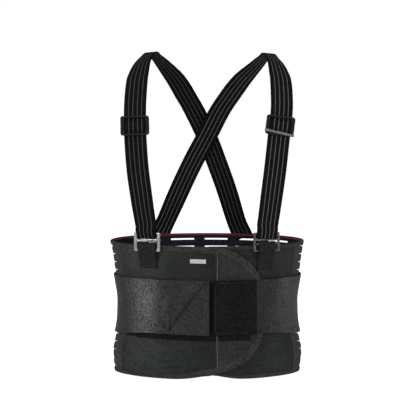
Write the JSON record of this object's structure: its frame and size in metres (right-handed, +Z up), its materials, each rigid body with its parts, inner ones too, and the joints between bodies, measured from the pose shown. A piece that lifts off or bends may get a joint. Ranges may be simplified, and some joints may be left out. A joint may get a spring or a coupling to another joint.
{
  "type": "back brace",
  "caption": "Elastic lumbar work belt with overlapping hook-and-loop front, two elastic pull straps, steel stays and crossed adjustable shoulder straps with metal clips.",
  "frame": {"origin": "centre of the belt ring on the plane of its lower edge at the sides and rear", "axes": "+Z up as worn, the front closure faces -Y, +X is the wearer's left, to the right as seen from the front"},
  "size_m": [0.3038, 0.2247, 0.4979],
  "materials": {
    "mesh": "ribbed elastic mesh",
    "stay_steel": "spring steel",
    "binding": "folded binding tape, stitched",
    "panel": "satin-faced laminated cloth",
    "velour": "brushed velour",
    "elastic": "woven elastic, slight sheen",
    "hook": "hook tape",
    "loop": "loop pile",
    "plastic": "moulded acetal, slight grain",
    "clip_metal": "brushed nickel plating",
    "label": "plain woven label, blank",
    "webbing": "elastic webbing with grey stripes"
  },
  "bodies": {
    "back": {"rear_mesh_panel": "mesh", "rear_top_binding": "binding", "rear_bottom_binding": "binding", "stay_channel_1": "mesh", "stay_channel_2": "mesh", "stay_channel_3": "mesh", "stay_channel_4": "mesh", "stay_channel_5": "mesh", "stay_channel_6": "mesh", "spring_stay_1": "stay_steel", "spring_stay_2": "stay_steel", "spring_stay_3": "stay_steel", "spring_stay_4": "stay_steel", "spring_stay_5": "stay_steel", "spring_stay_6": "stay_steel", "left_shoulder_strap": "webbing", "right_shoulder_strap": "webbing", "left_rear_anchor_patch": "panel", "right_rear_anchor_patch": "panel", "left_pull_rear": "elastic", "right_pull_rear": "elastic"},
    "left_wing": {"left_side_mesh": "mesh", "left_front_panel": "panel", "closure_flap": "velour", "left_binding": "binding", "closure_hook_patch": "hook", "left_landing_strip": "loop", "flap_landing_strip": "loop", "left_anchor_tab": "webbing", "blank_label": "label", "left_pull_side": "elastic"},
    "right_wing": {"right_side_mesh": "mesh", "right_front_panel": "panel", "right_binding": "binding", "closure_loop_patch": "loop", "right_anchor_tab": "webbing", "right_pull_side": "elastic"},
    "left_pull": {"left_pull_elastic": "elastic"},
    "left_tab": {"left_pull_tab": "panel", "left_hook_pad": "hook"},
    "right_pull": {"right_pull_elastic": "elastic"},
    "right_tab": {"right_pull_pad": "loop", "right_hook_pad": "hook"},
    "left_leg": {"left_strap_leg": "webbing"},
    "left_slider": {"left_slider_frame": "plastic", "left_slider_loop": "webbing"},
    "right_leg": {"right_strap_leg": "webbing"},
    "right_slider": {"right_slider_frame": "plastic", "right_slider_loop": "webbing"},
    "left_clip": {"left_clip_ring": "clip_metal"},
    "right_clip": {"right_clip_ring": "clip_metal"}
  },
  "joints": [
    {"name": "belt_opening", "type": "hinge", "parent": "back", "child": "left_wing", "pos_m": [-0.153, 0, 0], "axis": [0, 0, -1], "range_deg": [0, 50]},
    {"name": "right_side_swing", "type": "hinge", "parent": "back", "child": "right_wing", "pos_m": [0.153, 0, 0], "axis": [0, 0, 1], "range_deg": [0, 30]},
    {"name": "right_pull_swing", "type": "hinge", "parent": "right_wing", "child": "right_pull", "pos_m": [0.13988, -0.03, 0], "axis": [0, 0, 1], "range_deg": [0, 100]},
    {"name": "left_pull_swing", "type": "hinge", "parent": "left_wing", "child": "left_pull", "pos_m": [-0.13988, -0.03, 0], "axis": [0, 0, -1], "range_deg": [0, 90]},
    {"name": "left_tab_peel", "type": "hinge", "parent": "left_pull", "child": "left_tab", "pos_m": [-0.05638, -0.09723, 0], "axis": [0, 0, -1], "range_deg": [0, 100]},
    {"name": "right_pad_peel", "type": "hinge", "parent": "right_pull", "child": "right_tab", "pos_m": [0.0737, -0.09579, 0], "axis": [0, 0, 1], "range_deg": [0, 100]},
    {"name": "left_leg_swing", "type": "hinge", "parent": "left_wing", "child": "left_leg", "pos_m": [-0.153, 0, 0], "axis": [0, 0, -1], "range_deg": [-22.5, 0]},
    {"name": "right_leg_swing", "type": "hinge", "parent": "right_wing", "child": "right_leg", "pos_m": [0.153, 0, 0], "axis": [0, 0, 1], "range_deg": [-13.5, 0]},
    {"name": "left_slider_travel", "type": "slide", "parent": "left_leg", "child": "left_slider", "axis": [-0.0279, 0.2498, 0.9679], "range_m": [-0.025, 0.012], "stiffness_N_per_m": 40},
    {"name": "right_slider_travel", "type": "slide", "parent": "right_leg", "child": "right_slider", "axis": [0.1311, 0.2469, 0.9601], "range_m": [-0.025, 0.012], "stiffness_N_per_m": 40},
    {"name": "left_clip_tilt", "type": "hinge", "parent": "left_wing", "child": "left_clip", "pos_m": [-0.0895, -0.0925, 0.2003], "axis": [0.9511, -0.309, 0], "range_deg": [0, 12]},
    {"name": "right_clip_tilt", "type": "hinge", "parent": "right_wing", "child": "right_clip", "pos_m": [0.088, -0.0925, 0.2003], "axis": [0.9511, 0.309, 0], "range_deg": [0, 12]}
  ],
  "couplings": [
    {"joint": "right_side_swing", "follows": "belt_opening", "ratio": 0.6},
    {"joint": "right_pull_swing", "follows": "belt_opening", "ratio": 2},
    {"joint": "left_leg_swing", "follows": "belt_opening", "ratio": -0.45},
    {"joint": "right_leg_swing", "follows": "belt_opening", "ratio": -0.27}
  ]
}
